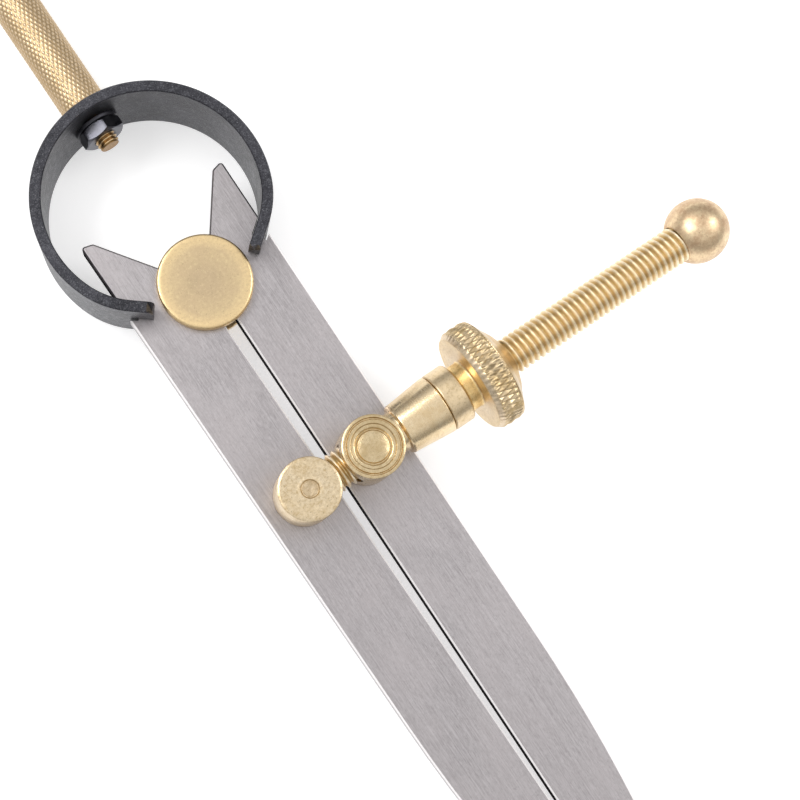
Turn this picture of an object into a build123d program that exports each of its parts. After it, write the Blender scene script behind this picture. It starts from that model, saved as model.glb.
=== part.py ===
from build123d import *
import math
import os

# Spring divider (drawing compass) lying flat, front face up.
# Millimetres and degrees. Origin: on the fulcrum axis, in the plane of the rearmost faces.
# +X runs along the adjusting screw to its ball, +Y runs to the handle, +Z is the front.

# Bow spring: a flat band bent to an open ring, with forked ends.
band_width = 13.5
band_thickness = 1.7
bow_outer_radius = 17.75
bow_centre_y = 13.9
crown_sweep = 112
bend_radius = 13
bend_sweep = 30
tine_length = 4.2
fork_gap = 0.3

# Legs: flat steel bars, straight outside, with a curved run down to the points.
leg_thickness = 3.2
leg_width = 11.32
leg_inner_x = 1.05
leg_length = 142
straight_end_y = -71.5
closing_angle = 0.4
edge_break = 0.25
point_width = 0.6
point_thickness = 1.0
taper_start_y = -105
horn_root_angle = 39.5
horn_inner_corner = (10.5, 14.0)
horn_top_y = 14.5
horn_corner_radius = 0.5
notch_width = 2.4
notch_depth = 1.2

# Fulcrum: a flanged roller between the legs.
flange_radius = 7.2
flange_thickness = 1.45
barrel_radius = 4.35
barrel_clearance = 0.08
end_play = 0.1
spigot_radius = 2.5
peened_radius = 3.6

# Studs that carry the adjusting screw.
stud_radius = 4.65
stud_x = 5.46
stud_y = -34.5
stud_height = 11.15
shank_radius = 2.5
shank_clearance = 0.05
washer_radius = 4.3
washer_thickness = 2.4
clip_groove_radius = 2.0
clip_radius = 4.0
clip_thickness = 0.7
clip_opening = 70

# Adjusting screw, M6 x 1, its ball, thrust sleeve and nut.
screw_radius = 2.95
screw_height = 5.8
screw_start_x = -8.8
screw_end_x = 67.2
bolt_fit = 0.05
ball_radius = 4.95
ball_x = 66.0
ball_flat = 3.85
sleeve_start_x = 10.75
nut_start_x = 17.85
nut_face_gap = 0.05
passage_radius = 3.25

# Handle, its threaded stud, washer and nut.
handle_radius = 3.55
handle_length = 32
handle_stud_radius = 1.7
handle_hole_radius = 1.8
handle_socket_depth = 10
lock_nut_flats = 6.2
lock_nut_height = 2.1
lock_nut_turn = 12
handle_washer_thickness = 0.5
stud_proud = 1.4

# Heights that follow from those.
mid_z = band_width / 2
leg_bottom = mid_z - leg_thickness / 2
leg_top = mid_z + leg_thickness / 2
stud_top = leg_top + stud_height
screw_z = leg_top + screw_height
bow_top_y = bow_centre_y + bow_outer_radius
bow_mid_radius = bow_outer_radius - band_thickness / 2
bow_inner_radius = bow_outer_radius - band_thickness
tine_slope = 180 - crown_sweep - bend_sweep

os.makedirs("parts", exist_ok=True)


def band_edge(shift):
    """One long edge of the right half band, shift outside its middle line: crown, bend, tine."""
    crown = CenterArc((0, bow_centre_y), bow_mid_radius + shift, 90, -crown_sweep)
    bend = JernArc(crown @ 1, crown % 1, bend_radius + shift, -bend_sweep)
    tine = Line(bend @ 1, bend @ 1 + (bend % 1) * tine_length)
    return crown @ 0, bend @ 1, tine @ 1


def along_y(y):
    """A plane across the handle axis at y, facing the handle's free end."""
    return Plane(origin=(0, y, mid_z), x_dir=(1, 0, 0), z_dir=(0, 1, 0))


def turned_about_screw():
    """A plane through the screw axis, for profiles given as (x, radius)."""
    return Plane(origin=(0, stud_y, screw_z), x_dir=(1, 0, 0), z_dir=(0, -1, 0))


def write(piece, name):
    """Labels a finished piece and writes it as its own STEP file."""
    piece.part.label = name
    export_step(piece.part, f"parts/{name}.step")


# ---- Bow spring ----
with BuildPart() as bow_spring:
    with BuildSketch():
        with BuildLine():
            outer_crown, outer_bend, outer_tip = band_edge(band_thickness / 2)
            inner_crown, inner_bend, inner_tip = band_edge(-band_thickness / 2)
            Line(outer_tip, inner_tip)
            Line(outer_crown, inner_crown)
        make_face()
    extrude(amount=band_width)
    mirror(about=Plane.YZ)
    # The handle's stud passes through the crown.
    with BuildSketch(along_y(bow_centre_y)):
        Circle(handle_hole_radius)
    extrude(amount=bow_outer_radius + 1, mode=Mode.SUBTRACT)
    # The forked ends straddle the legs.
    bend_end = (outer_bend + inner_bend) / 2
    notch_x = bend_end.X - notch_depth * math.cos(math.radians(tine_slope))
    notch_y = bend_end.Y - notch_depth * math.sin(math.radians(tine_slope))
    fork_root_x = notch_x + notch_width / 2 * math.sin(math.radians(tine_slope)) + fork_gap
    with BuildSketch(Plane.XY.offset(leg_bottom - fork_gap)):
        with Locations((0, 1)):
            Rectangle(2 * fork_root_x, 8)
    extrude(amount=leg_thickness + 2 * fork_gap, mode=Mode.SUBTRACT)
write(bow_spring, "bow_spring")


# ---- Legs ----
recess_radius = barrel_radius + barrel_clearance
leg_outer_x = leg_inner_x + leg_width
horn_sin = math.sin(math.radians(horn_root_angle))
horn_cos = math.cos(math.radians(horn_root_angle))
recess_bottom_y = -math.sqrt(recess_radius**2 - leg_inner_x**2)

with BuildPart() as right_leg:
    leg_plane = Plane.XY.offset(leg_bottom).rotated((0, 0, -closing_angle))
    with BuildSketch(leg_plane) as leg_outline:
        with BuildLine():
            point_inner = (leg_inner_x, -leg_length)
            point_outer = (leg_inner_x + point_width, -leg_length)
            curve_top = (leg_outer_x, straight_end_y)
            horn_outer = (leg_outer_x, horn_top_y)
            recess_top = (recess_radius * horn_sin, recess_radius * horn_cos)
            recess_bottom = (leg_inner_x, recess_bottom_y)
            Line(recess_bottom, point_inner)
            Line(point_inner, point_outer)
            TangentArc(curve_top, point_outer, tangent=(0, -1))
            Line(curve_top, horn_outer)
            Line(horn_outer, horn_inner_corner)
            Line(horn_inner_corner, recess_top)
            ThreePointArc(recess_top, (recess_radius, 0), recess_bottom)
        make_face()
        fillet(leg_outline.vertices().sort_by(Axis.Y)[-2:], horn_corner_radius)
    extrude(amount=leg_thickness)
    long_edges = right_leg.edges().filter_by(lambda edge: edge.length > 12)
    chamfer(long_edges.filter_by(Axis.Z, reverse=True), edge_break)
    # Both faces taper towards the point.
    taper = (leg_thickness - point_thickness) / 2
    with BuildSketch(Plane.YZ):
        for face_z, inward in ((leg_top, -1), (leg_bottom, 1)):
            with BuildLine():
                Polyline(
                    (taper_start_y, face_z),
                    (-leg_length - 1, face_z + inward * taper),
                    (-leg_length - 1, face_z - inward),
                    (taper_start_y, face_z - inward),
                    close=True,
                )
            make_face()
    extrude(amount=leg_outer_x, mode=Mode.SUBTRACT)
    # The spring's web sits in a notch in the outer edge.
    with BuildSketch(Plane.XY.offset(leg_bottom)):
        with Locations(Location((notch_x, notch_y, 0), (0, 0, tine_slope))):
            Rectangle(3 * notch_depth, notch_width, align=(Align.MIN, Align.CENTER))
    extrude(amount=leg_thickness, mode=Mode.SUBTRACT)
    # Hole for the stud's shank.
    with BuildSketch(Plane.XY.offset(leg_bottom)):
        with Locations((stud_x, stud_y)):
            Circle(shank_radius + shank_clearance)
    extrude(amount=leg_thickness, mode=Mode.SUBTRACT)
write(right_leg, "right_leg")

with BuildPart() as left_leg:
    add(mirror(right_leg.part, about=Plane.YZ))
write(left_leg, "left_leg")


# ---- Fulcrum ----
rear_flange_top = leg_bottom - end_play
rear_flange_bottom = rear_flange_top - flange_thickness
front_flange_bottom = leg_top + end_play

with BuildPart() as fulcrum_hub:
    with BuildSketch():
        Circle(peened_radius)
    extrude(amount=rear_flange_bottom)
    chamfer(fulcrum_hub.faces().sort_by(Axis.Z)[0].edges(), 0.4)
    with BuildSketch(Plane.XY.offset(rear_flange_bottom)):
        Circle(spigot_radius)
    extrude(amount=flange_thickness)
    with BuildSketch(Plane.XY.offset(rear_flange_top)):
        Circle(barrel_radius)
    extrude(amount=front_flange_bottom - rear_flange_top)
    with BuildSketch(Plane.XY.offset(front_flange_bottom)):
        Circle(flange_radius)
    extrude(amount=flange_thickness)
    chamfer(fulcrum_hub.faces().sort_by(Axis.Z)[-1].edges(), 0.3)
write(fulcrum_hub, "fulcrum_hub")

with BuildPart() as fulcrum_rear_flange:
    with BuildSketch(Plane.XY.offset(rear_flange_bottom)):
        Circle(flange_radius)
        Circle(spigot_radius + bolt_fit, mode=Mode.SUBTRACT)
    extrude(amount=flange_thickness)
    rear_rim = fulcrum_rear_flange.faces().sort_by(Axis.Z)[0].edges().sort_by(SortBy.LENGTH)[-1]
    chamfer(rear_rim, 0.3)
write(fulcrum_rear_flange, "fulcrum_rear_flange")


# ---- Studs, with the washer and spring clip that hold each one in its leg ----
washer_top = leg_bottom - shank_clearance
washer_bottom = washer_top - washer_thickness
clip_bottom = washer_bottom - clip_thickness
head_bottom = leg_top + shank_clearance


def turned_stud(x):
    """A stud blank: plain shank with its clip groove, and the round head."""
    with BuildPart() as blank:
        with BuildSketch(Plane.XY):
            with Locations((x, stud_y)):
                Circle(shank_radius)
        extrude(amount=head_bottom)
        chamfer(blank.faces().sort_by(Axis.Z)[0].edges(), 0.3)
        with BuildSketch(Plane.XY.offset(clip_bottom - 0.05)):
            with Locations((x, stud_y)):
                Circle(shank_radius + 1)
                Circle(clip_groove_radius, mode=Mode.SUBTRACT)
        extrude(amount=clip_thickness + 0.05, mode=Mode.SUBTRACT)
        with BuildSketch(Plane.XY.offset(head_bottom)):
            with Locations((x, stud_y)):
                Circle(stud_radius)
        extrude(amount=stud_top - head_bottom)
        chamfer(blank.faces().sort_by(Axis.Z)[-1].edges(), 0.2)
    return blank.part


def stud_washer(x):
    """The thick turned washer behind the leg."""
    with BuildPart() as washer:
        with BuildSketch(Plane.XY.offset(washer_bottom)):
            with Locations((x, stud_y)):
                Circle(washer_radius)
                Circle(shank_radius + shank_clearance, mode=Mode.SUBTRACT)
        extrude(amount=washer_thickness)
    return washer


def stud_clip(x):
    """The open spring clip in the shank's groove, its mouth towards the points."""
    mouth = 2 * clip_radius * math.sin(math.radians(clip_opening / 2))
    with BuildPart() as clip:
        with BuildSketch(Plane.XY.offset(clip_bottom)):
            with Locations((x, stud_y)):
                Circle(clip_radius)
                Circle(clip_groove_radius + 0.04, mode=Mode.SUBTRACT)
            with Locations((x, stud_y - clip_groove_radius / 2)):
                Rectangle(mouth / 2, clip_radius, align=(Align.CENTER, Align.MAX), mode=Mode.SUBTRACT)
        extrude(amount=clip_thickness)
    return clip


with BuildPart() as left_stud:
    add(turned_stud(-stud_x))
    # Blind hole for the screw, open towards the right stud.
    with BuildSketch(Plane(origin=(screw_start_x - 0.1, stud_y, screw_z), z_dir=(1, 0, 0))):
        Circle(screw_radius + bolt_fit)
    extrude(amount=stud_x + stud_radius, mode=Mode.SUBTRACT)
    # Hole for the grub screw that locks it.
    grub_radius = 1.25
    with BuildSketch(Plane.XY.offset(stud_top)):
        with Locations((-stud_x, stud_y)):
            Circle(grub_radius)
    extrude(amount=-(stud_top - screw_z), mode=Mode.SUBTRACT)
write(left_stud, "left_stud")

with BuildPart() as right_stud:
    add(turned_stud(stud_x))
    # Cross hole that slides along the screw.
    with BuildSketch(Plane(origin=(0, stud_y, screw_z), z_dir=(1, 0, 0))):
        Circle(passage_radius)
    extrude(amount=stud_x + stud_radius + 1, mode=Mode.SUBTRACT)
    # Two shallow turned grooves in the top.
    for groove_radius in (2.5, 4.0):
        with BuildSketch(Plane.XY.offset(stud_top)):
            with Locations((stud_x, stud_y)):
                Circle(groove_radius + 0.15)
                Circle(groove_radius - 0.15, mode=Mode.SUBTRACT)
        extrude(amount=-0.2, mode=Mode.SUBTRACT)
write(right_stud, "right_stud")

for side, sign in (("left", -1), ("right", 1)):
    write(stud_washer(sign * stud_x), f"{side}_stud_washer")
    write(stud_clip(sign * stud_x), f"{side}_stud_clip")

with BuildPart() as grub_screw:
    grub_bottom = screw_z + screw_radius + 0.05
    with BuildSketch(Plane.XY.offset(grub_bottom)):
        with Locations((-stud_x, stud_y)):
            Circle(grub_radius - bolt_fit)
    extrude(amount=stud_top - 0.25 - grub_bottom)
    # Cone left by the drill in its end.
    with Locations(Location((-stud_x, stud_y, stud_top - 0.25), (180, 0, 0))):
        Cone(0.7, 0, 0.5, align=(Align.CENTER, Align.CENTER, Align.MIN), mode=Mode.SUBTRACT)
write(grub_screw, "grub_screw")


# ---- Adjusting screw, ball, sleeve and nut ----
with BuildPart() as adjusting_screw:
    with BuildSketch(Plane(origin=(screw_start_x, stud_y, screw_z), z_dir=(1, 0, 0))):
        Circle(screw_radius)
    extrude(amount=screw_end_x - screw_start_x)
    chamfer(adjusting_screw.faces().filter_by(Axis.X).edges(), 0.4)
write(adjusting_screw, "adjusting_screw")

with BuildPart() as screw_ball:
    with Locations((ball_x, stud_y, screw_z)):
        Sphere(ball_radius)
    split(bisect_by=Plane(origin=(ball_x - ball_flat, 0, 0), z_dir=(1, 0, 0)))
    with BuildSketch(Plane(origin=(ball_x - ball_flat, stud_y, screw_z), z_dir=(1, 0, 0))):
        Circle(screw_radius + bolt_fit)
    extrude(amount=screw_end_x + 0.1 - ball_x + ball_flat, mode=Mode.SUBTRACT)
write(screw_ball, "screw_ball")

with BuildPart() as thrust_sleeve:
    with BuildSketch(turned_about_screw()):
        with BuildLine():
            Polyline(
                (sleeve_start_x, passage_radius),
                (sleeve_start_x, 3.8),
                (sleeve_start_x + 0.2, 3.98),
                (nut_start_x - nut_face_gap - 0.15, 4.65),
                (nut_start_x - nut_face_gap, 4.5),
                (nut_start_x - nut_face_gap, passage_radius),
                close=True,
            )
        make_face()
    revolve(axis=Axis((0, stud_y, screw_z), (1, 0, 0)))
write(thrust_sleeve, "thrust_sleeve")

with BuildPart() as adjusting_nut:
    nut_bore_radius = screw_radius + 0.06
    with BuildSketch(turned_about_screw()):
        with BuildLine():
            Polyline(
                (nut_start_x, nut_bore_radius),
                (nut_start_x, 4.5),
                (nut_start_x + 0.15, 4.65),
                (21.1, 4.65),
                (21.2, 4.55),
                (21.2, 3.75),
                (23.35, 3.75),
                (23.25, 7.6),
                (24.0, 8.3),
                (27.3, 8.3),
                (28.3, 6.5),
                (29.4, 4.75),
                (29.9, 3.6),
                (30.1, 3.35),
                (30.1, nut_bore_radius),
                close=True,
            )
        make_face()
    revolve(axis=Axis((0, stud_y, screw_z), (1, 0, 0)))
write(adjusting_nut, "adjusting_nut")


# ---- Handle ----
handle_start_y = bow_top_y + 0.02
washer_seat_y = bow_centre_y + math.sqrt(bow_inner_radius**2 - (lock_nut_flats / 2 + 0.5) ** 2) - 0.02
lock_nut_top_y = washer_seat_y - handle_washer_thickness
lock_nut_bottom_y = lock_nut_top_y - lock_nut_height

with BuildPart() as handle_grip:
    with BuildSketch(along_y(handle_start_y)):
        Circle(handle_radius)
    extrude(amount=handle_length)
    chamfer(handle_grip.faces().sort_by(Axis.Y)[0].edges(), 0.15)
    fillet(handle_grip.faces().sort_by(Axis.Y)[-1].edges(), 1.2)
    with BuildSketch(along_y(handle_start_y)):
        Circle(handle_stud_radius + bolt_fit)
    extrude(amount=handle_socket_depth, mode=Mode.SUBTRACT)
write(handle_grip, "handle_grip")

with BuildPart() as handle_stud:
    stud_low_y = lock_nut_bottom_y - stud_proud
    with BuildSketch(along_y(stud_low_y)):
        Circle(handle_stud_radius)
    extrude(amount=handle_start_y + handle_socket_depth - 0.2 - stud_low_y)
    chamfer(handle_stud.faces().filter_by(Axis.Y).edges(), 0.3)
write(handle_stud, "handle_stud")

with BuildPart() as handle_washer:
    with BuildSketch(along_y(lock_nut_top_y)):
        Circle(lock_nut_flats / 2 + 0.5)
        Circle(handle_hole_radius, mode=Mode.SUBTRACT)
    extrude(amount=handle_washer_thickness)
write(handle_washer, "handle_washer")

with BuildPart() as handle_nut:
    corner_radius = lock_nut_flats / math.sqrt(3)
    with BuildSketch(along_y(lock_nut_bottom_y)):
        RegularPolygon(corner_radius, 6, rotation=30 + lock_nut_turn)
    extrude(amount=lock_nut_height)
    # Turned chamfers take off the corners at both ends.
    with BuildSketch(Plane(origin=(0, 0, mid_z), x_dir=(1, 0, 0), z_dir=(0, 0, 1))):
        with BuildLine():
            Polyline(
                (0, lock_nut_bottom_y),
                (lock_nut_flats / 2 - 0.1, lock_nut_bottom_y),
                (corner_radius + 0.2, lock_nut_bottom_y + 0.45),
                (corner_radius + 0.2, lock_nut_top_y - 0.45),
                (lock_nut_flats / 2 - 0.1, lock_nut_top_y),
                (0, lock_nut_top_y),
                close=True,
            )
        make_face()
    revolve(axis=Axis((0, 0, mid_z), (0, 1, 0)), mode=Mode.INTERSECT)
    with BuildSketch(along_y(lock_nut_bottom_y)):
        Circle(handle_stud_radius + bolt_fit)
    extrude(amount=lock_nut_height, mode=Mode.SUBTRACT)
write(handle_nut, "handle_nut")
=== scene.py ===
import bpy
import math
from mathutils import Vector, Matrix, noise


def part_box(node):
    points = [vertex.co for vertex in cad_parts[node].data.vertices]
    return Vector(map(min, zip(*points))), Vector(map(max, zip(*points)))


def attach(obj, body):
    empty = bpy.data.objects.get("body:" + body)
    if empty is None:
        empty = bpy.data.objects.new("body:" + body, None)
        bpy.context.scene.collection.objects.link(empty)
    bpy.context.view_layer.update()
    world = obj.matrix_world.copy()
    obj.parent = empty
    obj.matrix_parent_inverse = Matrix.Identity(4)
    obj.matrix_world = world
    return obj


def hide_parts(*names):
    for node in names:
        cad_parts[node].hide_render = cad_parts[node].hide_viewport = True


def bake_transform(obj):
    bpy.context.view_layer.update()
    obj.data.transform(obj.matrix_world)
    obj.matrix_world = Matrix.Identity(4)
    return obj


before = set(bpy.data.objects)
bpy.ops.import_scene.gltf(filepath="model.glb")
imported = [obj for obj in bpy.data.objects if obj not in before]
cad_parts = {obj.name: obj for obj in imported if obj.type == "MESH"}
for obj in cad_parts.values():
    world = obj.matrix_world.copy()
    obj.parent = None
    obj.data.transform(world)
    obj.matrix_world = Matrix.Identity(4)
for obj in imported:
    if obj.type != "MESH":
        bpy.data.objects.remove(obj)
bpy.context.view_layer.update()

MM = 0.001  # metres in a millimetre

# Driving dimensions, in millimetres and degrees, chosen to agree with the frame.
BAND_WIDTH = 13.5
BAND_THICKNESS = 1.7
BOW_OUTER_RADIUS = 17.75
BOW_CENTRE_Y = 13.9
CROWN_SWEEP = 112
BEND_RADIUS = 13
BEND_SWEEP = 30
TINE_LENGTH = 4.2
FORK_GAP = 0.3
NOTCH_DEPTH = 1.2
LEG_THICKNESS = 3.2
PLAY = 0.1
FLANGE_RADIUS = 7.2
FLANGE_THICKNESS = 1.45
BARREL_RADIUS = 4.35
SPIGOT_RADIUS = 2.5
PEENED_RADIUS = 3.6
STUD_X = 5.46
STUD_Y = -34.5
STUD_RADIUS = 4.65
STUD_HEIGHT = 11.15
SHANK_RADIUS = 2.5
SHANK_PLAY = 0.05
WASHER_THICKNESS = 2.4
CLIP_THICKNESS = 0.7
CLIP_GROOVE_RADIUS = 2.0
SCREW_HEIGHT = 5.8
SCREW_START_X = -8.8
SCREW_END_X = 67.2
SCREW_CREST = 2.95
SCREW_ROOT = 2.42
SCREW_PITCH = 1.0
PASSAGE_RADIUS = 3.25
BALL_X = 66.0
BALL_RADIUS = 4.95
BALL_FLAT = 3.85
RIM_RADIUS = 8.3
KNURL_START = 24.0
KNURL_END = 27.3
NUT_KNURLS = 56
NUT_KNURL_ANGLE = 19
HANDLE_RADIUS = 3.55
HANDLE_ROUND = 1.2
HANDLE_KNURLS = 33
HANDLE_KNURL_ANGLE = 28
HANDLE_THREAD_CREST = 1.7
HANDLE_THREAD_ROOT = 1.38
HANDLE_THREAD_PITCH = 0.6
NUT_FLATS = 6.2
NUT_TURN = 12

# Heights and lines that follow from those.
MID_Z = BAND_WIDTH / 2
LEG_BOTTOM = MID_Z - LEG_THICKNESS / 2
LEG_TOP = MID_Z + LEG_THICKNESS / 2
STUD_TOP = LEG_TOP + STUD_HEIGHT
SCREW_Z = LEG_TOP + SCREW_HEIGHT
SCREW_LINE = (0, STUD_Y, SCREW_Z)
HANDLE_LINE = (0, 0, MID_Z)


# ---------------------------------------------------------------- meshes
def smooth(mesh, sharp_angle):
    """Smooth shading, but for edges sharper than sharp_angle degrees."""
    mesh.polygons.foreach_set("use_smooth", [True] * len(mesh.polygons))
    mesh.set_sharp_from_angle(angle=math.radians(sharp_angle))


def mesh_object(name, verts, faces, sharp_angle=35):
    """A mesh object from points in millimetres."""
    mesh = bpy.data.meshes.new(name)
    mesh.from_pydata([Vector(v) * MM for v in verts], [], faces)
    mesh.validate()
    smooth(mesh, sharp_angle)
    ob = bpy.data.objects.new(name, mesh)
    bpy.context.scene.collection.objects.link(ob)
    return ob


# For each axis of revolution: the axis, where the angle starts and the way it turns.
AXES = {
    "X": (Vector((1, 0, 0)), Vector((0, 1, 0)), Vector((0, 0, 1))),
    "Y": (Vector((0, 1, 0)), Vector((0, 0, 1)), Vector((1, 0, 0))),
    "Z": (Vector((0, 0, 1)), Vector((1, 0, 0)), Vector((0, 1, 0))),
}


def around(origin, axis, along, radius, angle):
    """The point at a distance along an axis, at a radius and an angle about it."""
    d, u, v = AXES[axis]
    return Vector(origin) + d * along + (u * math.cos(angle) + v * math.sin(angle)) * radius


def lathe(name, origin, axis, profile, segments=96, change=None, sharp_angle=35):
    """A turned piece from (along, radius) points; change(along, radius, angle) alters each point."""
    verts, faces, rows = [], [], []
    for along, radius in profile:
        if radius < 1e-6:
            verts.append(around(origin, axis, along, 0, 0))
            rows.append([len(verts) - 1] * segments)
            continue
        row = []
        for k in range(segments):
            angle = 2 * math.pi * k / segments
            a, r = change(along, radius, angle) if change else (along, radius)
            verts.append(around(origin, axis, a, r, angle))
            row.append(len(verts) - 1)
        rows.append(row)
    for low, high in zip(rows, rows[1:]):
        for k in range(segments):
            j = (k + 1) % segments
            quad = [low[k], low[j], high[j], high[k]]
            face = [corner for n, corner in enumerate(quad) if corner not in quad[:n]]
            if len(face) > 2:
                faces.append(face)
    return mesh_object(name, verts, faces, sharp_angle)


def rounded(points, radius=0.12, steps=4):
    """A profile with its inner corners rounded."""
    out = [points[0]]
    for before, corner, after in zip(points, points[1:], points[2:]):
        corner = Vector(corner)
        back = Vector(before) - corner
        on = Vector(after) - corner
        reach = min(radius, back.length * 0.45, on.length * 0.45)
        start = corner + back.normalized() * reach
        end = corner + on.normalized() * reach
        for k in range(steps + 1):
            t = k / steps
            out.append(tuple((1 - t) ** 2 * start + 2 * t * (1 - t) * corner + t * t * end))
    out.append(points[-1])
    return out


def helix(name, origin, axis, start, end, crest, root, pitch, segments=48, rows=12, taper=0.8):
    """A single-start thread whose rows of points follow the helix; it fades over taper at its ends."""
    half_crest = 0.06  # share of the pitch
    flank = 0.36  # share of the pitch
    flank_curve = 1.15
    verts, faces = [], []
    row_count = int((end - start) / pitch * rows) + rows + 1
    for i in range(-rows, row_count):
        phase = (i / rows) % 1
        depth = min(1, max(0, (abs(phase - 0.5) - half_crest) / flank))
        height = 1 - depth**flank_curve
        for k in range(segments + 1):
            along = start + i * pitch / rows + pitch * k / segments
            fade = min(1, max(0, min(along - start, end - along) / taper))
            radius = root + (crest - root) * height * (0.25 + 0.75 * fade)
            along = min(end, max(start, along))
            verts.append(around(origin, axis, along, radius, 2 * math.pi * k / segments))
    width = segments + 1
    last_row = row_count + rows - 1
    for i in range(last_row):
        for k in range(segments):
            a = i * width + k
            faces.append((a, a + 1, a + width + 1, a + width))
    faces.append([k for k in range(segments)][::-1])
    faces.append([last_row * width + k for k in range(segments)])
    return mesh_object(name, verts, faces, 50)


def diamonds(along, radius, angle, starts, lean_angle):
    """Height of a diamond knurl, 0 in its grooves and 1 on its points."""

    def wave(x):
        return 1 - abs(2 * (x - math.floor(x)) - 1)

    turns = angle / (2 * math.pi) * starts
    lean = along * math.tan(math.radians(lean_angle)) / (2 * math.pi * radius / starts)
    return min(wave(turns + lean), wave(turns - lean))


def unevenness(along, radius, angle, frequency, seed=None):
    """Smooth noise over a turned piece; with a seed it depends on the radius and angle only."""
    x = math.cos(angle) * radius * frequency
    y = math.sin(angle) * radius * frequency
    return noise.noise(Vector((x, y, along if seed is None else seed)))


def cut(ob, cutter):
    """Takes the cutter's shape out of ob, and removes the cutter."""
    mod = ob.modifiers.new("cut", "BOOLEAN")
    mod.operation = "DIFFERENCE"
    mod.solver = "EXACT"
    mod.object = cutter
    depsgraph = bpy.context.evaluated_depsgraph_get()
    mesh = bpy.data.meshes.new_from_object(ob.evaluated_get(depsgraph))
    ob.modifiers.clear()
    ob.data = mesh
    bpy.data.objects.remove(cutter)
    smooth(mesh, 35)


# ---------------------------------------------------------------- material graphs
class Graph:
    """Builds one material's nodes. Sizes and depths are in millimetres."""

    def __init__(self, name, metallic, roughness):
        self.material = bpy.data.materials.new(name)
        self.material.use_nodes = True
        self.tree = self.material.node_tree
        self.bsdf = self.tree.nodes["Principled BSDF"]
        self.bsdf.inputs["Metallic"].default_value = metallic
        self.bsdf.inputs["Roughness"].default_value = roughness

    def node(self, kind, **values):
        n = self.tree.nodes.new(kind)
        for key, value in values.items():
            setattr(n, key, value)
        return n

    def put(self, socket, value):
        """Sets a socket, or links another node's output to it."""
        if isinstance(value, (int, float, tuple)):
            socket.default_value = value
        else:
            self.tree.links.new(value, socket)

    def split(self, vector):
        n = self.node("ShaderNodeSeparateXYZ")
        self.put(n.inputs[0], vector)
        return n.outputs

    def where(self, size=(1, 1, 1), origin=(0, 0, 0), turn=0):
        """Object coordinates with features of this size scaled to one unit, turned about Z."""
        coordinates = self.node("ShaderNodeTexCoord")
        m = self.node("ShaderNodeMapping", vector_type="TEXTURE")
        m.inputs["Location"].default_value = [x * MM for x in origin]
        m.inputs["Rotation"].default_value = (0, 0, math.radians(turn))
        m.inputs["Scale"].default_value = [s * MM for s in size]
        self.put(m.inputs["Vector"], coordinates.outputs["Object"])
        return m.outputs["Vector"]

    def noise(self, size, detail=3.0, rough=0.55, turn=0):
        """Noise with features of one size, or of a size along each axis."""
        sizes = size if isinstance(size, tuple) else (size, size, size)
        n = self.node("ShaderNodeTexNoise")
        self.put(n.inputs["Vector"], self.where(sizes, turn=turn))
        n.inputs["Scale"].default_value = 1.0
        n.inputs["Detail"].default_value = detail
        n.inputs["Roughness"].default_value = rough
        return n.outputs["Fac"]

    def about(self, axis, origin):
        """Distance from an axis and distance along it."""
        parts = self.split(self.where(origin=origin))
        across = self.node("ShaderNodeCombineXYZ")
        for k, letter in enumerate("XYZ"):
            if letter != axis:
                self.put(across.inputs[k], parts[k])
        length = self.node("ShaderNodeVectorMath", operation="LENGTH")
        self.put(length.inputs[0], across.outputs[0])
        return length.outputs["Value"], parts["XYZ".index(axis)]

    def rings(self, axis, origin, size):
        """Turning marks: noise that depends on the distance from an axis and along it."""
        radius, along = self.about(axis, origin)
        spot = self.node("ShaderNodeCombineXYZ")
        self.put(spot.inputs[0], radius)
        self.put(spot.inputs[1], along)
        n = self.node("ShaderNodeTexNoise")
        self.put(n.inputs["Vector"], spot.outputs[0])
        n.inputs["Scale"].default_value = 1.0 / size
        n.inputs["Detail"].default_value = 2.0
        return n.outputs["Fac"]

    def ramp(self, value, low, high, at_low, at_high):
        n = self.node("ShaderNodeMapRange")
        self.put(n.inputs["Value"], value)
        n.inputs["From Min"].default_value = low
        n.inputs["From Max"].default_value = high
        n.inputs["To Min"].default_value = at_low
        n.inputs["To Max"].default_value = at_high
        return n.outputs["Result"]

    def math(self, operation, a, b=0.0):
        n = self.node("ShaderNodeMath", operation=operation)
        self.put(n.inputs[0], a)
        self.put(n.inputs[1], b)
        return n.outputs[0]

    def mix(self, factor, a, b):
        """Colour a where the factor is 0 and colour b where it is 1."""
        n = self.node("ShaderNodeMix", data_type="RGBA")
        self.put(n.inputs[0], factor)
        for socket, colour in ((n.inputs[6], a), (n.inputs[7], b)):
            self.put(socket, (*colour, 1.0) if isinstance(colour, tuple) else colour)
        return n.outputs[2]

    def bump(self, height, depth, previous=None):
        """Relief of this depth for a height that runs from 0 to 1."""
        n = self.node("ShaderNodeBump")
        n.inputs["Strength"].default_value = 1.0
        n.inputs["Distance"].default_value = depth * MM
        self.put(n.inputs["Height"], height)
        if previous is not None:
            self.put(n.inputs["Normal"], previous)
        return n.outputs["Normal"]

    def finish(self, colour, roughness, normal=None):
        self.put(self.bsdf.inputs["Base Color"], colour)
        self.put(self.bsdf.inputs["Roughness"], roughness)
        if normal is not None:
            self.put(self.bsdf.inputs["Normal"], normal)
        return self.material


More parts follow.
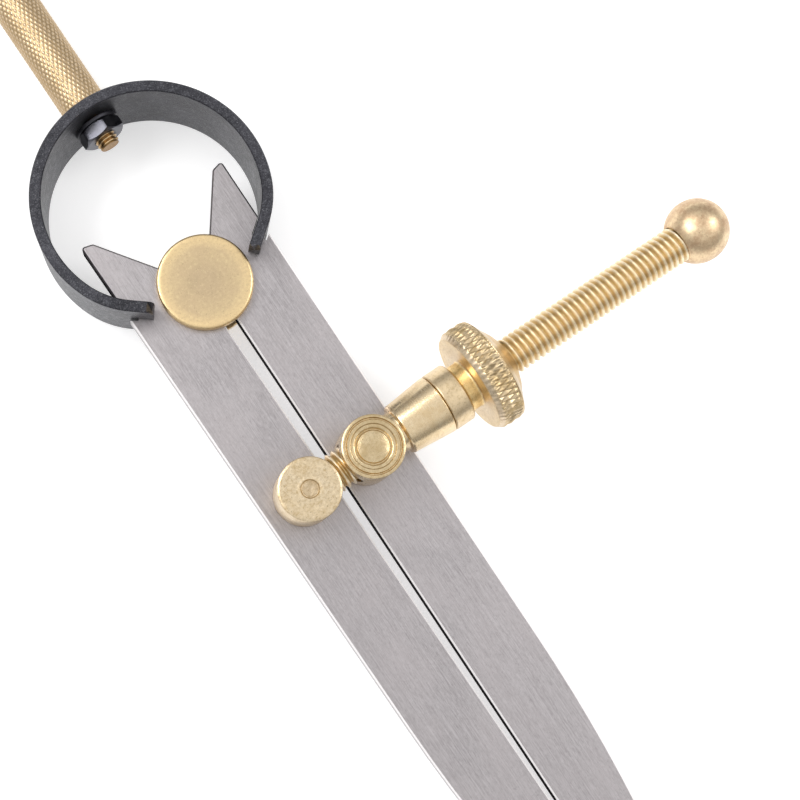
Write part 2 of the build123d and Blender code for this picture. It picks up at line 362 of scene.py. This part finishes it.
def leg_steel(name, inner_side):
    """Steel brushed lengthwise, with painted shade on its inner walls and painted highlights on its edges.
    inner_side is +1 or -1, the way along X that the leg's inner wall faces.
    """
    g = Graph(name, 1.0, 0.4)
    grain = g.noise((0.12, 1.0, 0.12), 4.0, 0.7)
    cross = g.noise((0.7, 0.12, 0.7), 2.0, 0.6, turn=34)
    cloud = g.noise((7, 12, 7), 3.0, 0.5)
    spots = g.noise((0.28, 0.4, 0.28), 3.0, 0.7)
    lines = g.noise((0.07, 9, 0.07), 2.0, 0.6)
    colour = g.mix(g.ramp(grain, 0.3, 0.7, 0.0, 1.0), (0.33, 0.305, 0.31), (0.53, 0.50, 0.51))
    colour = g.mix(g.ramp(lines, 0.50, 0.70, 0.0, 0.55), colour, (0.60, 0.575, 0.585))
    colour = g.mix(g.ramp(lines, 0.44, 0.30, 0.0, 0.45), colour, (0.25, 0.23, 0.235))
    colour = g.mix(g.ramp(cloud, 0.3, 0.7, 0.0, 0.5), colour, (0.46, 0.425, 0.43))
    colour = g.mix(g.ramp(cross, 0.56, 0.8, 0.0, 0.35), colour, (0.62, 0.60, 0.61))
    colour = g.mix(g.ramp(spots, 0.56, 0.76, 0.0, 0.55), colour, (0.27, 0.25, 0.255))

    # Painted shade: the inner wall, and the outer wall of the horn above the fulcrum, are painted near black
    # for the shade in the gap and under the ring.
    coordinates = g.node("ShaderNodeTexCoord")
    facing = g.split(coordinates.outputs["Normal"])
    y = g.split(coordinates.outputs["Object"])[1]
    inner = g.ramp(g.math("MULTIPLY", facing[0], inner_side), 0.80, 0.95, 0.0, 1.0)
    outer = g.ramp(g.math("MULTIPLY", facing[0], -inner_side), 0.80, 0.95, 0.0, 1.0)
    horn = g.math("MULTIPLY", outer, g.ramp(y, 2.0 * MM, 2.6 * MM, 0.0, 1.0))
    dark = g.math("MAXIMUM", inner, horn)
    colour = g.mix(dark, colour, (0.022, 0.019, 0.020))

    # Painted highlight: the broken edges below the fulcrum are painted near white.
    tilt = g.math("ABSOLUTE", g.math("SUBTRACT", g.math("ABSOLUTE", facing[2]), math.sqrt(0.5)))
    below = g.ramp(y, 0.0, 2.0 * MM, 1.0, 0.0)
    edge_highlight = g.math("MULTIPLY", g.ramp(tilt, 0.05, 0.15, 1.0, 0.0), below)
    colour = g.mix(edge_highlight, colour, (0.97, 0.94, 0.94))
    # The painted shade and the painted highlight are made less metallic, and the painted shade loses its
    # specular reflection.
    metallic = g.math("SUBTRACT", g.math("SUBTRACT", 1.0, dark), g.math("MULTIPLY", edge_highlight, 0.8))
    g.put(g.bsdf.inputs["Metallic"], metallic)
    g.put(g.bsdf.inputs["Specular IOR Level"], g.ramp(dark, 0.0, 1.0, 0.5, 0.02))

    worn = g.ramp(cloud, 0.3, 0.7, 0.28, 0.38)
    rough = g.math("MAXIMUM", g.math("ADD", worn, g.ramp(grain, 0.3, 0.7, 0.0, 0.12)), dark)
    return g.finish(colour, rough, g.bump(cross, 0.008, g.bump(grain, 0.016)))


def black_steel(name, speck=1.0):
    """Black oxide with pale specks and dark pits; speck scales how strong they are."""
    g = Graph(name, 0.6, 0.42)
    fine = g.noise(0.17, 3.0, 0.7)
    mid = g.noise(0.8, 3.0, 0.65)
    cloud = g.noise(5, 3.0, 0.55)
    colour = g.mix(g.ramp(cloud, 0.35, 0.7, 0.0, 1.0), (0.027, 0.027, 0.033), (0.058, 0.058, 0.069))
    colour = g.mix(g.ramp(mid, 0.5, 0.75, 0.0, 0.6 * speck), colour, (0.11, 0.11, 0.125))
    colour = g.mix(g.ramp(fine, 0.56, 0.74, 0.0, 0.75 * speck), colour, (0.26, 0.26, 0.28))
    colour = g.mix(g.ramp(fine, 0.46, 0.34, 0.0, 0.85 * speck), colour, (0.008, 0.008, 0.010))
    rough = g.ramp(mid, 0.3, 0.7, 0.28, 0.46)
    return g.finish(colour, rough, g.bump(mid, 0.03, g.bump(fine, 0.035)))


def brass(name, axis, origin, light, dark, rough, ring, ring_depth,
          pit_depth=0.012, mottle=0.7, grit=0.6, painted_light_zones=(), radial_painted_light=None):
    """Turned brass about an axis, mottled from light to dark, with turning marks, grit and pits.

    zones are (start, end, tint) along X: painted reflection and shade, tinting stretches a deeper or paler
    gold.
    radial_painted_light is (low radius, high radius, low tint, high tint), painted light that changes with
    the distance
    from the axis: painted shade in thread roots with painted highlights on crests, and a disc's painted
    reflection, darker in the middle and brighter at the edge.
    """
    g = Graph(name, 1.0, 0.3)
    cloud = g.noise(2.6, 4.0, 0.65)
    small = g.noise(0.45, 3.0, 0.7)
    pits = g.noise(0.2, 2.0, 0.7)
    marks = g.rings(axis, origin, ring)
    colour = g.mix(g.ramp(cloud, 0.35, 0.65, 0.0, mottle), light, dark)
    if painted_light_zones:
        # Painted reflection and shade: stretches along X tinted a deeper or paler gold.
        x = g.split(g.where())[0]
        blur = 0.1
        for start, end, tint in painted_light_zones:
            entered = g.ramp(x, start - blur, start + blur, 0.0, 1.0)
            left = g.ramp(x, end - blur, end + blur, 1.0, 0.0)
            colour = g.mix(g.math("MULTIPLY", entered, left), colour, tint)
    if radial_painted_light:
        # Painted shade towards the low radius and a painted highlight towards the high radius.
        low, high, low_tint, high_tint = radial_painted_light
        radius = g.about(axis, origin)[0]
        colour = g.mix(g.ramp(radius, low, high, 0.0, 1.0), low_tint, colour)
        colour = g.mix(g.ramp(radius, low * 0.3 + high * 0.7, high, 0.0, 0.8), colour, high_tint)
    bright = tuple(min(0.95, c * 1.22) for c in light)
    colour = g.mix(g.ramp(small, 0.48, 0.72, 0.0, grit), colour, dark)
    colour = g.mix(g.ramp(small, 0.46, 0.28, 0.0, grit * 0.6), colour, bright)
    colour = g.mix(g.ramp(pits, 0.60, 0.74, 0.0, grit), colour, tuple(c * 0.5 for c in dark))
    worn = g.ramp(cloud, 0.3, 0.7, rough[0], rough[1])
    roughness = g.math("ADD", worn, g.ramp(marks, 0.3, 0.7, -0.03, 0.05))
    normal = g.bump(small, pit_depth, g.bump(marks, ring_depth))
    return g.finish(colour, roughness, g.bump(pits, pit_depth * 0.6, normal))


def plated_steel(name, cloud_size, fine_size, dark, light, rough, depth):
    """Plated steel, mottled from dark to light."""
    g = Graph(name, 1.0, 0.3)
    cloud = g.noise(cloud_size, 3.0, 0.6)
    fine = g.noise(fine_size, 2.0, 0.6)
    colour = g.mix(g.ramp(cloud, 0.3, 0.7, 0.0, 1.0), dark, light)
    return g.finish(colour, g.ramp(cloud, 0.3, 0.7, rough[0], rough[1]), g.bump(fine, depth))


def paper(name):
    """The pale table, which gives off some light of its own."""
    g = Graph(name, 0.0, 0.8)
    tone = g.noise(30, 2.0, 0.5)
    g.bsdf.inputs["Emission Color"].default_value = (1.0, 1.0, 1.0, 1)
    g.bsdf.inputs["Emission Strength"].default_value = 0.50
    colour = g.mix(tone, (0.70, 0.70, 0.705), (0.73, 0.73, 0.735))
    return g.finish(colour, g.ramp(tone, 0.3, 0.7, 0.75, 0.85))


# ---------------------------------------------------------------- materials of the pieces
# Painted reflection: the disc is painted darker in the middle and brighter towards its edge.
disc_brass = brass(
    "brass disc", "Z", (0, 0, 0), (0.84, 0.65, 0.37), (0.56, 0.425, 0.26), (0.28, 0.42), 0.16, 0.002,
    mottle=0.85, grit=0.5, radial_painted_light=(1.5, 6.6, (0.58, 0.445, 0.28), (0.86, 0.65, 0.355)),
)
grub_brass = brass(
    "brass grub screw", "Z", (-STUD_X, STUD_Y, 0), (0.62, 0.50, 0.34), (0.44, 0.32, 0.18), (0.40, 0.50),
    0.3, 0.02, pit_depth=0.05, mottle=0.6, grit=0.9,
)
left_stud_brass = brass(
    "brass left stud", "Z", (-STUD_X, STUD_Y, 0), (0.78, 0.645, 0.45), (0.52, 0.38, 0.20), (0.28, 0.44),
    0.14, 0.001, pit_depth=0.03, mottle=0.5, grit=0.9,
)
right_stud_brass = brass(
    "brass right stud", "Z", (STUD_X, STUD_Y, 0), (0.76, 0.61, 0.385), (0.50, 0.365, 0.185), (0.20, 0.32),
    0.1, 0.012,
)
# Painted shade in the thread's roots and painted highlights on its crests.
thread_brass = brass(
    "brass thread", "X", SCREW_LINE, (0.96, 0.80, 0.55), (0.72, 0.54, 0.30), (0.32, 0.44), 0.05, 0.002,
    radial_painted_light=(2.45, 2.85, (0.64, 0.46, 0.22), (0.99, 0.87, 0.66)),
)
ball_brass = brass(
    "brass ball", "X", SCREW_LINE, (0.86, 0.68, 0.44), (0.58, 0.39, 0.24), (0.34, 0.44), 0.2, 0.003,
    pit_depth=0.02, mottle=0.9, grit=0.7,
)
sleeve_brass = brass(
    "turned brass", "X", SCREW_LINE, (0.88, 0.71, 0.47), (0.64, 0.46, 0.24), (0.18, 0.30), 0.08, 0.005,
    pit_depth=0.008, mottle=0.5, grit=0.4,
)
# Painted reflection and shade along the nut: its collar, its neck, the plain shoulder of its rim and the end
# of its boss.
nut_painted_light = (
    (17.0, 21.3, (0.78, 0.62, 0.40)),
    (21.3, 23.3, (0.95, 0.70, 0.33)),
    (23.3, 24.0, (0.80, 0.65, 0.46)),
    (28.4, 31.0, (0.62, 0.42, 0.17)),
)
knurled_brass = brass(
    "knurled brass", "X", SCREW_LINE, (0.72, 0.575, 0.38), (0.50, 0.35, 0.155), (0.26, 0.38), 0.1, 0.003,
    painted_light_zones=nut_painted_light,
)
# Painted shade in the knurl's grooves and painted highlights on its points.
handle_brass = brass(
    "knurled handle", "Y", HANDLE_LINE, (0.62, 0.48, 0.32), (0.46, 0.34, 0.20), (0.34, 0.46), 0.2, 0.002,
    radial_painted_light=(3.40, 3.52, (0.42, 0.28, 0.13), (0.76, 0.62, 0.45)),
)
# Painted shade in the thread's roots and painted highlights on its crests.
handle_stud_brass = brass(
    "brass stud thread", "Y", HANDLE_LINE, (0.70, 0.50, 0.27), (0.46, 0.27, 0.10), (0.28, 0.40), 0.05, 0.002,
    radial_painted_light=(1.42, 1.62, (0.30, 0.17, 0.06), (0.82, 0.62, 0.36)),
)
small_steel = plated_steel(
    "small steel parts", 1.5, 0.2, (0.44, 0.44, 0.46), (0.60, 0.60, 0.61), (0.22, 0.36), 0.01
)
nut_steel = plated_steel(
    "black plated nut", 1.4, 0.18, (0.11, 0.11, 0.13), (0.19, 0.19, 0.21), (0.26, 0.40), 0.012
)

MATERIALS = {
    "left_leg": leg_steel("brushed steel left", 1.0),
    "right_leg": leg_steel("brushed steel right", -1.0),
    "bow_spring": black_steel("black oxide"),
    "fulcrum_hub": disc_brass,
    "fulcrum_rear_flange": disc_brass,
    "handle_grip": handle_brass,
    "handle_stud": handle_stud_brass,
    # Painted shade: the washer is painted near black for the shade between the lock nut and the bow.
    "handle_washer": black_steel("washer in painted shade", 0.4),
    "handle_nut": nut_steel,
    "left_stud": left_stud_brass,
    "grub_screw": grub_brass,
    "left_stud_washer": small_steel,
    "left_stud_clip": small_steel,
    "right_stud": right_stud_brass,
    "right_stud_washer": small_steel,
    "right_stud_clip": small_steel,
    "adjusting_screw": thread_brass,
    "screw_ball": ball_brass,
    "thrust_sleeve": sleeve_brass,
    "adjusting_nut": knurled_brass,
}
for node_name, node_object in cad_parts.items():
    node_object.data.materials.clear()
    node_object.data.materials.append(MATERIALS[node_name])


def dress(ob, node):
    """Gives a piece its CAD node's material and slot, and shows it instead of the node."""
    ob.data.materials.append(MATERIALS[node])
    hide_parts(node)


def place(ob, node, body):
    """Dresses a rigid piece and lets it ride on its body."""
    dress(ob, node)
    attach(ob, body)


# ---------------------------------------------------------------- fulcrum
REAR_TOP = LEG_BOTTOM - PLAY
REAR_BOTTOM = REAR_TOP - FLANGE_THICKNESS
FRONT_BOTTOM = LEG_TOP + PLAY
FRONT_TOP = FRONT_BOTTOM + FLANGE_THICKNESS


def make_fulcrum():
    """The hub with its slightly hollow front disc, and the flange behind the legs."""

    def uneven_face(along, radius, angle):
        height = 0.03 if along > FRONT_TOP - 0.05 else 0
        return along + height * unevenness(along, radius, angle, 0.35), radius

    profile = [(0, 0), (0, 3.0), (0, 3.2), (0.12, 3.45), (0.4, PEENED_RADIUS)]
    profile += [(REAR_BOTTOM, PEENED_RADIUS), (REAR_BOTTOM, SPIGOT_RADIUS)]
    profile += [(REAR_TOP, SPIGOT_RADIUS), (REAR_TOP, BARREL_RADIUS)]
    profile += [(FRONT_BOTTOM, BARREL_RADIUS), (FRONT_BOTTOM, FLANGE_RADIUS - 0.1)]
    profile += [(FRONT_BOTTOM + 0.1, FLANGE_RADIUS)]
    # The rim's rounded edge, then the face in to its centre, as depth below the top.
    face = ((0.32, 7.2), (0.2, 7.15), (0.06, 7.0), (0, 6.8), (0.005, 6.4), (0.01, 5.5), (0.01, 4.5),
            (0.012, 3.4), (0.015, 2.2), (0.02, 1.1), (0.02, 0))
    profile += [(FRONT_TOP - depth, radius) for depth, radius in face]
    hub = lathe("fulcrum_hub_turned", (0, 0, 0), "Z", profile, 128, uneven_face)
    place(hub, "fulcrum_hub", "fulcrum")

    bore = SPIGOT_RADIUS + 0.05
    profile = [(REAR_TOP, bore), (REAR_BOTTOM, bore), (REAR_BOTTOM, FLANGE_RADIUS - 0.3)]
    profile += [(REAR_BOTTOM + 0.08, FLANGE_RADIUS - 0.1), (REAR_BOTTOM + 0.3, FLANGE_RADIUS)]
    profile += [(REAR_TOP - 0.1, FLANGE_RADIUS), (REAR_TOP, FLANGE_RADIUS - 0.1), (REAR_TOP, bore)]
    rear = lathe("fulcrum_rear_turned", (0, 0, 0), "Z", profile, 128)
    place(rear, "fulcrum_rear_flange", "fulcrum")


# ---------------------------------------------------------------- studs
def uneven_top(along, radius, angle):
    """Rough turned end of a stud: only its top millimetre is uneven."""
    if along < STUD_TOP - 1.0:
        return along, radius
    return along + 0.025 * unevenness(along, radius, angle, 0.9, seed=3.1), radius


def below_stud_top(points):
    """Profile points given as (depth below the studs' tops, radius)."""
    return [(STUD_TOP - depth, radius) for depth, radius in points]


def make_stud(name, x, top, bore_start, bore_end, bore_radius):
    """A stud with its grooved shank, its own top, and a bore along the screw."""
    groove_top = LEG_BOTTOM - SHANK_PLAY - WASHER_THICKNESS
    groove_bottom = groove_top - CLIP_THICKNESS - SHANK_PLAY
    head = LEG_TOP + SHANK_PLAY
    profile = [(0, 0), (0, SHANK_RADIUS - 0.3), (0.3, SHANK_RADIUS), (groove_bottom, SHANK_RADIUS)]
    profile += [(groove_bottom, CLIP_GROOVE_RADIUS), (groove_top, CLIP_GROOVE_RADIUS)]
    profile += [(groove_top, SHANK_RADIUS), (head, SHANK_RADIUS)]
    profile += [(head, STUD_RADIUS - 0.15), (head + 0.15, STUD_RADIUS)]
    profile += below_stud_top(top)
    stud = lathe(f"{name}_turned", (x, STUD_Y, 0), "Z", profile, 96, uneven_top)
    bore = [(bore_start, 0), (bore_start, bore_radius), (bore_end, bore_radius), (bore_end, 0)]
    cut(stud, lathe("bore", SCREW_LINE, "X", bore, 48))
    place(stud, name, name)


def make_studs():
    # A flat top with a raised lip round the grub screw's hole.
    flat_top = ((0.28, 4.65), (0.12, 4.6), (0.03, 4.45), (0, 4.2), (0.01, 3.4), (0, 2.6), (0, 2.0),
                (0, 1.66), (-0.04, 1.52), (-0.03, 1.4), (0.12, 1.28), (0.22, 1.2), (0.26, 0.9),
                (0.3, 0.4), (0.3, 0))
    make_stud("left_stud", -STUD_X, flat_top, SCREW_START_X - 0.1, 3, SCREW_CREST + 0.03)

    grub_top = ((2.3, 0), (2.3, 1.1), (0.26, 1.14), (0.18, 1.04), (0.17, 0.8), (0.21, 0.5),
                (0.24, 0.25), (0.24, 0))
    grub_origin = (-STUD_X, STUD_Y, 0)
    grub = lathe("grub_screw_turned", grub_origin, "Z", below_stud_top(grub_top), 48, uneven_top)
    place(grub, "grub_screw", "left_stud")

    # From the rim inwards: a groove, a flat ring, a step, a deeper groove and a low crown.
    ringed_top = ((0.30, 4.65), (0.1, 4.6), (0.02, 4.45), (0, 4.3), (0.02, 4.18), (0.28, 4.06),
                  (0.30, 3.95), (0.04, 3.82), (0.05, 3.5), (0.08, 3.34), (0.26, 3.2), (0.28, 3.05),
                  (0.28, 2.85), (0.34, 2.72), (0.58, 2.58), (0.58, 2.45), (0.30, 2.28), (0.20, 1.9),
                  (0.14, 1.2), (0.12, 0.6), (0.12, 0))
    make_stud("right_stud", STUD_X, ringed_top, -3, 14, PASSAGE_RADIUS)


# ---------------------------------------------------------------- screw, ball, sleeve and nut
def make_screw_and_ball():
    screw = helix(
        "adjusting_screw_thread", SCREW_LINE, "X",
        SCREW_START_X, SCREW_END_X, SCREW_CREST, SCREW_ROOT, SCREW_PITCH,
    )
    place(screw, "adjusting_screw", "left_stud")

    def not_quite_round(along, radius, angle):
        y, z = math.cos(angle) * radius, math.sin(angle) * radius
        return along, radius * (1 + 0.004 * noise.noise(Vector((along, y, z)) * 0.35))

    steps = 40
    flat_angle = math.acos(BALL_FLAT / BALL_RADIUS)
    profile = [(BALL_X - BALL_FLAT, 2.9), (BALL_X - BALL_FLAT, 3.02)]
    for k in range(steps):
        angle = flat_angle + (math.pi - flat_angle) * k / steps
        profile.append((BALL_X - BALL_RADIUS * math.cos(angle), BALL_RADIUS * math.sin(angle)))
    profile.append((BALL_X + BALL_RADIUS, 0))
    ball = lathe("screw_ball_turned", SCREW_LINE, "X", profile, 96, not_quite_round)
    place(ball, "screw_ball", "left_stud")


def make_sleeve():
    """The tapered sleeve, with the spigot that seats it in the right stud's cross hole."""
    spigot = [(7.4, 3.1), (7.4, 3.2), (10.7, 3.2)]
    taper = [(10.76, 3.85), (11.0, 4.0), (17.5, 4.63), (17.62, 4.65), (17.8, 4.48), (17.8, 3.1)]
    sleeve = lathe("thrust_sleeve_turned", SCREW_LINE, "X", rounded(spigot + taper, 0.08), 96)
    place(sleeve, "thrust_sleeve", "right_stud")


def make_nut():
    """The nut: collar, neck, knurled rim and cone."""

    def knurl(along, radius, angle):
        if not KNURL_START - 0.01 < along < KNURL_END + 0.01 or radius < RIM_RADIUS - 0.15:
            return along, radius
        height = diamonds(along - KNURL_START, RIM_RADIUS, angle, NUT_KNURLS, NUT_KNURL_ANGLE)
        inside = min(1, max(0, min(along - KNURL_START, KNURL_END - along) / 0.35))
        groove = 0.32 * (1 - height) * (0.35 + 0.65 * inside)
        return along, radius - groove - 0.12 * (1 - inside)

    bore = 3.05
    collar = [(17.87, bore), (17.87, 4.48), (18.03, 4.65), (21.02, 4.65), (21.18, 4.5)]
    neck = [(21.22, 3.9), (21.5, 3.72), (23.1, 3.72), (23.36, 3.9)]
    shoulder = [(23.27, 7.55), (KNURL_START, 8.22)]
    cone = [(KNURL_END, 8.22), (27.5, 8.0), (28.3, 6.5), (29.4, 4.75)]
    boss = [(29.9, 3.6), (30.08, 3.35), (30.08, bore)]
    steps = 30
    width = KNURL_END - KNURL_START
    rim = [(KNURL_START + width * k / steps, RIM_RADIUS) for k in range(1, steps)]
    profile = rounded(collar + neck + shoulder, 0.1) + rim + rounded(cone + boss, 0.12)
    segments = NUT_KNURLS * 9
    nut = lathe("adjusting_nut_knurled", SCREW_LINE, "X", profile, segments, knurl, 60)
    place(nut, "adjusting_nut", "adjusting_nut")


# ---------------------------------------------------------------- handle, its stud, washer and nut
def y_range(node):
    """Where a CAD node starts and ends along the handle's axis."""
    low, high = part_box(node)
    return low.y / MM, high.y / MM


def make_handle():
    start, end = y_range("handle_grip")

    def knurl(along, radius, angle):
        if radius < HANDLE_RADIUS - 0.02:
            return along, radius
        height = diamonds(along - start, HANDLE_RADIUS, angle, HANDLE_KNURLS, HANDLE_KNURL_ANGLE)
        return along, radius - 0.12 * (1 - height)

    profile = [(start, 1.75), (start, 3.35), (start + 0.12, 3.5)]
    length = end - start - 1.6
    row_spacing = 0.13
    count = int(length / row_spacing)
    profile += [(start + 0.2 + length * k / count, HANDLE_RADIUS) for k in range(count + 1)]
    steps = 8
    for k in range(1, steps + 1):
        a = math.pi / 2 * k / steps
        along = end - HANDLE_ROUND * (1 - math.sin(a))
        profile.append((along, HANDLE_RADIUS - 0.05 - HANDLE_ROUND * (1 - math.cos(a))))
    profile.append((end, 0))
    grip = lathe("handle_knurled", HANDLE_LINE, "Y", profile, HANDLE_KNURLS * 8, knurl, 60)
    place(grip, "handle_grip", "bow")

    # The thread stops 6 mm short of the stud's hidden end.
    start, end = y_range("handle_stud")
    thread = helix(
        "handle_stud_thread", HANDLE_LINE, "Y", start, end - 6,
        HANDLE_THREAD_CREST, HANDLE_THREAD_ROOT, HANDLE_THREAD_PITCH, 40, 10, 0.5,
    )
    place(thread, "handle_stud", "bow")


def make_hex_nut():
    """The lock nut, with turned chamfers at both ends."""
    start, end = y_range("handle_nut")
    flat_radius = NUT_FLATS / 2
    corner_radius = NUT_FLATS / math.sqrt(3)
    face_radius = flat_radius - 0.12
    slope = 0.42 / (corner_radius - face_radius)
    segments = 6 * 14
    rings = [[] for _ in range(8)]
    for k in range(segments):
        angle = 2 * math.pi * k / segments
        from_flat = angle % (math.pi / 3) - math.pi / 6
        outer = min(flat_radius / math.cos(from_flat), corner_radius - 0.06)
        drop = slope * (outer - face_radius)
        half = [(0.25, 1.62), (0, 1.95), (0, face_radius), (drop, outer)]
        section = [(start + inset, radius) for inset, radius in half]
        section += [(end - inset, radius) for inset, radius in half[::-1]]
        for ring, (along, radius) in zip(rings, section):
            ring.append(around(HANDLE_LINE, "Y", along, radius, angle + math.radians(NUT_TURN)))
    verts = [vertex for ring in rings for vertex in ring]
    faces = []
    for i in range(8):
        low, high = i * segments, (i + 1) % 8 * segments
        for k in range(segments):
            j = (k + 1) % segments
            faces.append((low + k, low + j, high + j, high + k))
    place(mesh_object("handle_hex_nut", verts, faces, 25), "handle_nut", "bow")


def make_washer():
    """The washer under the lock nut, a little wider towards the handle; it is painted near black as the
    shade between the nut and the bow.
    """
    start, end = y_range("handle_washer")
    profile = rounded([(start, 1.75), (start, 3.5), (end, 3.58), (end, 1.75)], 0.1) + [(start, 1.75)]
    washer = lathe("handle_washer_turned", HANDLE_LINE, "Y", profile, 72)
    place(washer, "handle_washer", "bow")


# ---------------------------------------------------------------- bow spring
MID_RADIUS = BOW_OUTER_RADIUS - BAND_THICKNESS / 2
CROWN_LENGTH = math.radians(CROWN_SWEEP) * MID_RADIUS
BEND_LENGTH = math.radians(BEND_SWEEP) * BEND_RADIUS
ROOT_PLAY = 0.12
FORK_ROOT = CROWN_LENGTH + BEND_LENGTH + NOTCH_DEPTH - ROOT_PLAY
TIP = CROWN_LENGTH + BEND_LENGTH + TINE_LENGTH


def band_point(length):
    """Middle line of the right half: point and outward normal at a length from the crown."""

    def outward(angle):
        return Vector((math.sin(angle), math.cos(angle)))

    bow_centre = Vector((0, BOW_CENTRE_Y))
    if length <= CROWN_LENGTH:
        normal = outward(length / MID_RADIUS)
        return bow_centre + normal * MID_RADIUS, normal
    crown_end = math.radians(CROWN_SWEEP)
    bend_centre = bow_centre + outward(crown_end) * (MID_RADIUS - BEND_RADIUS)
    angle = crown_end + min(length - CROWN_LENGTH, BEND_LENGTH) / BEND_RADIUS
    normal = outward(angle)
    straight = max(0, length - CROWN_LENGTH - BEND_LENGTH)
    along = Vector((normal.y, -normal.x))
    return bend_centre + normal * BEND_RADIUS + along * straight, normal


def band_section(low, high):
    """Outline of the band between two heights, as (height, offset), with its edges broken."""
    half, edge, across = BAND_THICKNESS / 2, 0.16, 7
    section = []
    for k in range(across):
        section.append((low + edge + (high - low - 2 * edge) * k / (across - 1), half))
    for k in range(across):
        section.append((high, (half - edge) * (1 - 2 * k / (across - 1))))
    for k in range(across):
        section.append((high - edge - (high - low - 2 * edge) * k / (across - 1), -half))
    for k in range(across):
        section.append((low, (half - edge) * (2 * k / (across - 1) - 1)))
    return section


def strip(verts, faces, side, start, end, low, high, stations, end_shape=None):
    """Adds a closed length of band to a mesh; end_shape(height, offset) moves its far end."""
    section = band_section(low, high)
    base, n = len(verts), len(section)
    for i in range(stations + 1):
        for z, offset in section:
            reach = end - start + (end_shape(z, offset) if end_shape else 0)
            point, normal = band_point(start + reach * i / stations)
            point = point + normal * offset
            verts.append((side * point.x, point.y, z))

    def add(face):
        faces.append(face if side < 0 else face[::-1])

    for i in range(stations):
        a, b = base + i * n, base + (i + 1) * n
        for k in range(n):
            j = (k + 1) % n
            add((a + k, a + j, b + j, b + k))
    for i in (0, stations):
        ring = [base + i * n + k for k in range(n)]
        middle = sum((Vector(verts[r]) for r in ring), Vector((0, 0, 0))) / n
        verts.append(tuple(middle))
        for k in range(n):
            pair = (ring[k], ring[(k + 1) % n])
            add((*(pair if i else pair[::-1]), len(verts) - 1))


def sheared_tip(z, offset):
    """The right tine ends in a rough, sheared face."""
    rough = 0.45 * noise.noise(Vector((z * 1.7, offset * 1.3, 2.0)))
    fine = 0.12 * noise.noise(Vector((z * 6, offset * 6, 4.0)))
    return -0.35 + rough + fine


def rounded_tip(z, offset):
    """The left tine is shorter, and its front corner is round."""
    corner_radius = 1.1
    corner = max(0, z - (BAND_WIDTH - corner_radius)) / corner_radius
    rough = 0.10 * noise.noise(Vector((z * 4, offset * 3, 9.0)))
    return -0.75 - (1 - math.sqrt(max(0, 1 - corner * corner))) + rough


def make_bow():
    """Two halves that meet at the crown."""
    for side, tip_shape, name in ((1, sheared_tip, "right"), (-1, rounded_tip, "left")):
        verts, faces = [], []
        strip(verts, faces, side, 0, FORK_ROOT, 0, BAND_WIDTH, 96)
        strip(verts, faces, side, FORK_ROOT, TIP, LEG_TOP + FORK_GAP, BAND_WIDTH, 8, tip_shape)
        strip(verts, faces, side, FORK_ROOT, TIP, 0, LEG_BOTTOM - FORK_GAP, 8, tip_shape)
        half = mesh_object(f"bow_spring_{name}_half", verts, faces, 28)
        dress(half, "bow_spring")
        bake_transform(half)


make_fulcrum()
make_studs()
make_screw_and_ball()
make_sleeve()
make_nut()
make_handle()
make_hex_nut()
make_washer()
make_bow()


# ---------------------------------------------------------------- table, light and camera
def make_table():
    """A pale table just under the lowest faces."""
    half = 20  # metres
    z = -0.03 * MM
    mesh = bpy.data.meshes.new("floor")
    corners = [(-half, -half, z), (half, -half, z), (half, half, z), (-half, half, z)]
    mesh.from_pydata(corners, [], [(0, 1, 2, 3)])
    mesh.materials.append(paper("paper"))
    floor = bpy.data.objects.new("floor", mesh)
    bpy.context.scene.collection.objects.link(floor)


def make_world():
    """White surroundings, bright overhead and darker towards the horizon."""
    world = bpy.data.worlds.new("studio")
    bpy.context.scene.world = world
    world.use_nodes = True
    tree = world.node_tree
    background = tree.nodes["Background"]
    background.inputs["Color"].default_value = (1.0, 1.0, 1.0, 1)
    coordinates = tree.nodes.new("ShaderNodeTexCoord")
    parts = tree.nodes.new("ShaderNodeSeparateXYZ")
    level = tree.nodes.new("ShaderNodeMapRange")
    level.interpolation_type = "SMOOTHSTEP"
    level.inputs["From Min"].default_value = 0.15
    level.inputs["From Max"].default_value = 0.85
    level.inputs["To Min"].default_value = 0.30
    level.inputs["To Max"].default_value = 0.88
    tree.links.new(coordinates.outputs["Generated"], parts.inputs[0])
    tree.links.new(parts.outputs[2], level.inputs["Value"])
    tree.links.new(level.outputs["Result"], background.inputs["Strength"])


def softbox(name, location, size, power):
    """A rectangular light, in metres and watts, aimed at the fulcrum."""
    light = bpy.data.lights.new(name, "AREA")
    light.shape = "RECTANGLE"
    light.size, light.size_y = size
    light.energy = power
    ob = bpy.data.objects.new(name, light)
    bpy.context.scene.collection.objects.link(ob)
    ob.location = location
    ob.rotation_euler = (-Vector(location)).to_track_quat("-Z", "Y").to_euler()


def make_camera():
    """The photo's viewpoint."""
    location = Vector((-29.83, -40.13, 228.78)) * MM
    forward = Vector((0.16454, 0.0358, -0.98572)).normalized()
    up = Vector((0.54792, 0.82766, 0.12152))
    up = (up - forward * up.dot(forward)).normalized()
    right = forward.cross(up)
    camera = bpy.data.cameras.new("camera")
    ob = bpy.data.objects.new("camera", camera)
    bpy.context.scene.collection.objects.link(ob)
    turn = Matrix((right, up, -forward)).transposed()
    ob.matrix_world = Matrix.Translation(location) @ turn.to_4x4()
    camera.sensor_width = 36
    camera.lens = 67.5
    camera.shift_x = 0.045
    camera.shift_y = 0.045
    camera.clip_start = 0.001
    bpy.context.scene.camera = ob


make_table()
make_world()
softbox("key", (-0.35, 0.45, 0.7), (0.6, 0.4), 4.2)
softbox("fill", (0.6, -0.2, 0.6), (0.4, 0.4), 1.8)
make_camera()
# Standard keeps the white table white.
bpy.context.scene.view_settings.view_transform = "Standard"
